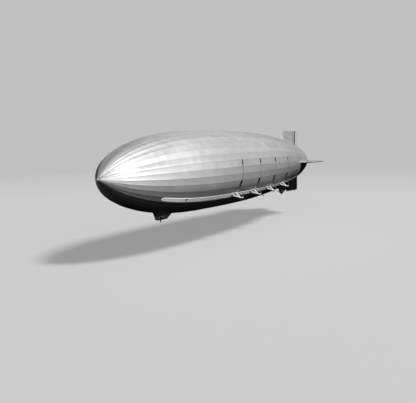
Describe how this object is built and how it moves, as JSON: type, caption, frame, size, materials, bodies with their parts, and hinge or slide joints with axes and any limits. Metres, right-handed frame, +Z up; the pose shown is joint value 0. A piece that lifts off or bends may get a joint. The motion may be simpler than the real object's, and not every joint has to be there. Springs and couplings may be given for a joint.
{
  "type": "rigid airship, 1:10 scale model",
  "caption": "Rigid airship model with a faceted silver hull, cross fins, a bow control car, belly doors and swivelling outrigger propellers.",
  "frame": {"origin": "centre of buoyancy, on the hull's axis", "axes": "+X towards the nose, +Y to port, +Z up"},
  "size_m": [23.97, 4.26, 4.3763],
  "materials": {
    "silver_cover": "cloth doped with aluminium, satin",
    "light_cover": "light aluminium paint with dark louvred panels",
    "dark_blue": "doped cloth with upright colour stripes",
    "bright_metal": "polished",
    "grey_metal": "dull",
    "window_glass": "clear",
    "black_rubber": "matte"
  },
  "bodies": {
    "airframe": {"car_glazing": "window_glass", "control_car": "silver_cover", "fin_lower": "silver_cover", "fin_port": "silver_cover", "fin_starboard": "silver_cover", "fin_upper": "silver_cover", "hangar_bay": "grey_metal", "hull_aft": "silver_cover", "hull_bow": "silver_cover", "hull_forward": "silver_cover", "hull_hangar": "silver_cover", "hull_middle": "silver_cover", "hull_stern": "silver_cover", "hull_tail": "silver_cover", "nose_cap": "bright_metal", "outrigger_port_1": "bright_metal", "outrigger_port_2": "bright_metal", "outrigger_port_3": "bright_metal", "outrigger_port_4": "bright_metal", "outrigger_starboard_1": "bright_metal", "outrigger_starboard_2": "bright_metal", "outrigger_starboard_3": "bright_metal", "outrigger_starboard_4": "bright_metal", "port_band_and_condensers": "light_cover", "port_engine_beam": "grey_metal", "starboard_band_and_condensers": "light_cover", "starboard_engine_beam": "grey_metal", "tail_cone": "silver_cover", "tail_station": "silver_cover"},
    "rudder_upper": {"rudder_upper": "dark_blue"},
    "rudder_lower": {"rudder_lower": "dark_blue"},
    "elevator_port": {"elevator_port": "silver_cover"},
    "elevator_starboard": {"elevator_starboard": "silver_cover"},
    "belly_door_port": {"belly_door_port": "silver_cover"},
    "belly_door_starboard": {"belly_door_starboard": "silver_cover"},
    "car_door": {"car_door": "silver_cover"},
    "taxi_fork": {"taxi_fork": "grey_metal"},
    "taxi_wheel": {"taxi_wheel": "black_rubber"},
    "tail_fork": {"tail_fork": "grey_metal"},
    "tail_wheel": {"tail_wheel": "black_rubber"},
    "gear_head_port_1": {"gear_head_port_1": "grey_metal"},
    "propeller_port_1": {"propeller_port_1": "bright_metal"},
    "gear_head_port_2": {"gear_head_port_2": "grey_metal"},
    "propeller_port_2": {"propeller_port_2": "bright_metal"},
    "gear_head_port_3": {"gear_head_port_3": "grey_metal"},
    "propeller_port_3": {"propeller_port_3": "bright_metal"},
    "gear_head_port_4": {"gear_head_port_4": "grey_metal"},
    "propeller_port_4": {"propeller_port_4": "bright_metal"},
    "gear_head_starboard_1": {"gear_head_starboard_1": "grey_metal"},
    "propeller_starboard_1": {"propeller_starboard_1": "bright_metal"},
    "gear_head_starboard_2": {"gear_head_starboard_2": "grey_metal"},
    "propeller_starboard_2": {"propeller_starboard_2": "bright_metal"},
    "gear_head_starboard_3": {"gear_head_starboard_3": "grey_metal"},
    "propeller_starboard_3": {"propeller_starboard_3": "bright_metal"},
    "gear_head_starboard_4": {"gear_head_starboard_4": "grey_metal"},
    "propeller_starboard_4": {"propeller_starboard_4": "bright_metal"}
  },
  "joints": [
    {"name": "rudder_upper_turn", "type": "hinge", "parent": "airframe", "child": "rudder_upper", "pos_m": [-10.5565, 0, 1.6], "axis": [0, 0, 1], "range_deg": [-25, 25]},
    {"name": "rudder_lower_turn", "type": "hinge", "parent": "airframe", "child": "rudder_lower", "pos_m": [-10.5565, 0, -1.6], "axis": [0, 0, 1], "range_deg": [-25, 25]},
    {"name": "elevator_port_turn", "type": "hinge", "parent": "airframe", "child": "elevator_port", "pos_m": [-10.5565, 1.6, 0], "axis": [0, 1, 0], "range_deg": [-25, 25]},
    {"name": "elevator_starboard_turn", "type": "hinge", "parent": "airframe", "child": "elevator_starboard", "pos_m": [-10.5565, -1.6, 0], "axis": [0, 1, 0], "range_deg": [-25, 25]},
    {"name": "belly_door_port_swing", "type": "hinge", "parent": "airframe", "child": "belly_door_port", "pos_m": [4.02, 0.5, -1.92707], "axis": [0.9999, 0, 0.0132], "range_deg": [0, 80]},
    {"name": "belly_door_starboard_swing", "type": "hinge", "parent": "airframe", "child": "belly_door_starboard", "pos_m": [4.02, -0.5, -1.92707], "axis": [-0.9999, 0, -0.0132], "range_deg": [0, 80]},
    {"name": "car_door_swing", "type": "hinge", "parent": "airframe", "child": "car_door", "pos_m": [6.576, 0.121, -1.97], "axis": [0, 0, -1], "range_deg": [0, 95]},
    {"name": "taxi_castor_swivel", "type": "hinge", "parent": "airframe", "child": "taxi_fork", "pos_m": [6.59, 0, -2.1303], "axis": [0, 0, 1], "continuous": true},
    {"name": "taxi_wheel_roll", "type": "hinge", "parent": "taxi_fork", "child": "taxi_wheel", "pos_m": [6.57, 0, -2.1983], "axis": [0, 1, 0], "continuous": true},
    {"name": "tail_castor_swivel", "type": "hinge", "parent": "airframe", "child": "tail_fork", "pos_m": [-8.27, 0, -2.1203], "axis": [0, 0, 1], "continuous": true},
    {"name": "tail_wheel_roll", "type": "hinge", "parent": "tail_fork", "child": "tail_wheel", "pos_m": [-8.29, 0, -2.1883], "axis": [0, 1, 0], "continuous": true},
    {"name": "head_port_1_tilt", "type": "hinge", "parent": "airframe", "child": "gear_head_port_1", "pos_m": [1.87, 1.90494, -1.45636], "axis": [0, -1, 0], "range_deg": [0, 90]},
    {"name": "propeller_port_1_spin", "type": "hinge", "parent": "gear_head_port_1", "child": "propeller_port_1", "pos_m": [1.7195, 1.90494, -1.45636], "axis": [1, 0, 0], "continuous": true},
    {"name": "head_port_2_tilt", "type": "hinge", "parent": "airframe", "child": "gear_head_port_2", "pos_m": [-0.38, 1.90139, -1.45338], "axis": [0, -1, 0], "range_deg": [0, 90]},
    {"name": "propeller_port_2_spin", "type": "hinge", "parent": "gear_head_port_2", "child": "propeller_port_2", "pos_m": [-0.5305, 1.90139, -1.45338], "axis": [1, 0, 0], "continuous": true},
    {"name": "head_port_3_tilt", "type": "hinge", "parent": "airframe", "child": "gear_head_port_3", "pos_m": [-2.63, 1.86229, -1.42057], "axis": [0, -1, 0], "range_deg": [0, 90]},
    {"name": "propeller_port_3_spin", "type": "hinge", "parent": "gear_head_port_3", "child": "propeller_port_3", "pos_m": [-2.7805, 1.86229, -1.42057], "axis": [1, 0, 0], "continuous": true},
    {"name": "head_port_4_tilt", "type": "hinge", "parent": "airframe", "child": "gear_head_port_4", "pos_m": [-4.88, 1.76542, -1.33929], "axis": [0, -1, 0], "range_deg": [0, 90]},
    {"name": "propeller_port_4_spin", "type": "hinge", "parent": "gear_head_port_4", "child": "propeller_port_4", "pos_m": [-5.0305, 1.76542, -1.33929], "axis": [1, 0, 0], "continuous": true},
    {"name": "head_starboard_1_tilt", "type": "hinge", "parent": "airframe", "child": "gear_head_starboard_1", "pos_m": [1.87, -1.90494, -1.45636], "axis": [0, -1, 0], "range_deg": [0, 90]},
    {"name": "propeller_starboard_1_spin", "type": "hinge", "parent": "gear_head_starboard_1", "child": "propeller_starboard_1", "pos_m": [1.7195, -1.90494, -1.45636], "axis": [1, 0, 0], "continuous": true},
    {"name": "head_starboard_2_tilt", "type": "hinge", "parent": "airframe", "child": "gear_head_starboard_2", "pos_m": [-0.38, -1.90139, -1.45338], "axis": [0, -1, 0], "range_deg": [0, 90]},
    {"name": "propeller_starboard_2_spin", "type": "hinge", "parent": "gear_head_starboard_2", "child": "propeller_starboard_2", "pos_m": [-0.5305, -1.90139, -1.45338], "axis": [1, 0, 0], "continuous": true},
    {"name": "head_starboard_3_tilt", "type": "hinge", "parent": "airframe", "child": "gear_head_starboard_3", "pos_m": [-2.63, -1.86229, -1.42057], "axis": [0, -1, 0], "range_deg": [0, 90]},
    {"name": "propeller_starboard_3_spin", "type": "hinge", "parent": "gear_head_starboard_3", "child": "propeller_starboard_3", "pos_m": [-2.7805, -1.86229, -1.42057], "axis": [1, 0, 0], "continuous": true},
    {"name": "head_starboard_4_tilt", "type": "hinge", "parent": "airframe", "child": "gear_head_starboard_4", "pos_m": [-4.88, -1.76542, -1.33929], "axis": [0, -1, 0], "range_deg": [0, 90]},
    {"name": "propeller_starboard_4_spin", "type": "hinge", "parent": "gear_head_starboard_4", "child": "propeller_starboard_4", "pos_m": [-5.0305, -1.76542, -1.33929], "axis": [1, 0, 0], "continuous": true}
  ],
  "couplings": [
    {"joint": "rudder_lower_turn", "follows": "rudder_upper_turn", "ratio": 1},
    {"joint": "elevator_starboard_turn", "follows": "elevator_port_turn", "ratio": 1}
  ]
}
